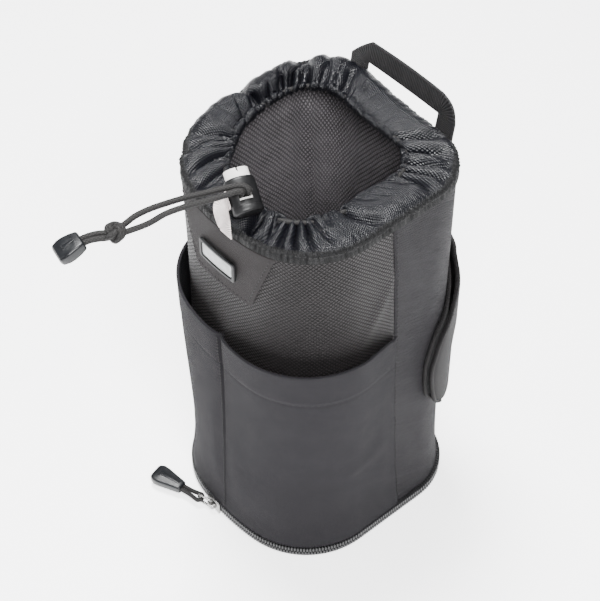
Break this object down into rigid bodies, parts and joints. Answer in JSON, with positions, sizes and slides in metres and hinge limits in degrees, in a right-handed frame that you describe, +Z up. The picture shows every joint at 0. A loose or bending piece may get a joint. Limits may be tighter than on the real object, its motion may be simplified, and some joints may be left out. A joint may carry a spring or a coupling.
{
  "type": "lens pouch",
  "caption": "Tall padded drawstring pouch on a zipped drop base, with a stretch pocket, a cord lock, a webbing handle and a wrap-round belt flap.",
  "frame": {"origin": "centre of the base's underside, where the pouch stands", "axes": "+Z up along the pouch, -Y the badge side, +Y the belt side, +X the side where the cord lock's closed end points"},
  "size_m": [0.1283, 0.2137, 0.269],
  "materials": {
    "shell_weave": "coarse woven nylon, matt",
    "shell_twill": "plain woven nylon, matt",
    "padding": "closed-cell foam",
    "lining_cloth": "embossed woven lining, matt",
    "binding_tape": "ribbed binding tape",
    "thin_nylon": "thin coated nylon, satin",
    "stretch_cloth": "stretch woven cloth, matt",
    "smooth_cloth": "smooth woven cloth, matt",
    "zip_tape": "knitted tape",
    "zip_teeth": "moulded coil, satin",
    "zip_metal": "plated zinc, polished",
    "spring_steel": "drawn wire",
    "cord_cloth": "braided cord",
    "grey_plastic": "satin moulding",
    "black_plastic": "satin moulding",
    "white_plastic": "satin moulding",
    "white_tape": "woven tape",
    "badge_rubber": "moulded rubber, matt",
    "badge_foil": "silver coated, satin",
    "webbing": "ribbed nylon webbing",
    "pad_cloth": "brushed loop cloth, matt",
    "hook_and_loop": "hook and loop pile",
    "flap_cloth": "ribbed woven cloth, matt"
  },
  "bodies": {
    "pouch": {"front_panel": "shell_weave", "side_panel_right": "shell_twill", "side_panel_left": "shell_twill", "back_panel": "shell_twill", "foam_padding": "padding", "lining": "lining_cloth", "seam_binding": "binding_tape", "base_gusset": "thin_nylon", "zip_tape_upper": "zip_tape", "zip_chain_upper": "zip_teeth", "stretch_pocket": "stretch_cloth", "badge_patch": "smooth_cloth", "badge_frame": "badge_rubber", "badge_plate": "badge_foil", "collar": "thin_nylon", "lock_barrel": "black_plastic", "lock_spring": "spring_steel", "drawcord": "cord_cloth", "lock_tab": "white_tape", "tail_strand_a": "cord_cloth", "tail_strand_b": "cord_cloth", "tail_knot": "cord_cloth", "tail_loop_1": "cord_cloth", "tail_loop_2": "cord_cloth", "cord_end": "grey_plastic", "handle_anchor_left": "webbing", "handle_anchor_right": "webbing", "belt_pad": "pad_cloth", "loop_pad": "hook_and_loop", "belt_flap_seam": "webbing"},
    "base": {"base_panel": "shell_twill", "base_board": "black_plastic", "base_foam": "padding", "base_lining": "lining_cloth", "zip_tape_lower": "zip_tape", "zip_chain_lower": "zip_teeth"},
    "slider": {"slider_body": "zip_metal"},
    "puller": {"slider_bail": "zip_metal", "puller_cord": "cord_cloth", "puller_grip": "grey_plastic"},
    "plunger": {"lock_plunger": "white_plastic"},
    "handle": {"handle_strap": "webbing"},
    "flap": {"belt_flap": "flap_cloth", "hook_pad": "hook_and_loop"}
  },
  "joints": [
    {"name": "base_drop", "type": "slide", "parent": "pouch", "child": "base", "axis": [0, 0, -1], "range_m": [0, 0.055], "deforming": ["base_gusset"]},
    {"name": "zip_slide", "type": "hinge", "parent": "pouch", "child": "slider", "pos_m": [0, 0.077, 0.005], "axis": [0, 0, 1], "range_deg": [-2.6, 10.4]},
    {"name": "puller_swing", "type": "hinge", "parent": "slider", "child": "puller", "pos_m": [-0.01, -0.07011, 0.005], "axis": [0, 0, 1], "range_deg": [-10, 142]},
    {"name": "lock_press", "type": "slide", "parent": "pouch", "child": "plunger", "axis": [0.8314, -0.3105, -0.4608], "range_m": [0, 0.0035], "stiffness_N_per_m": 800, "deforming": ["lock_spring"]},
    {"name": "handle_fold", "type": "hinge", "parent": "pouch", "child": "handle", "pos_m": [-0.005, 0.06325, 0.2436], "axis": [-1, 0, 0], "range_deg": [0, 150]},
    {"name": "belt_flap_open", "type": "hinge", "parent": "pouch", "child": "flap", "pos_m": [0, 0.0637, 0.188], "axis": [1, 0, 0], "range_deg": [0, 150]}
  ]
}
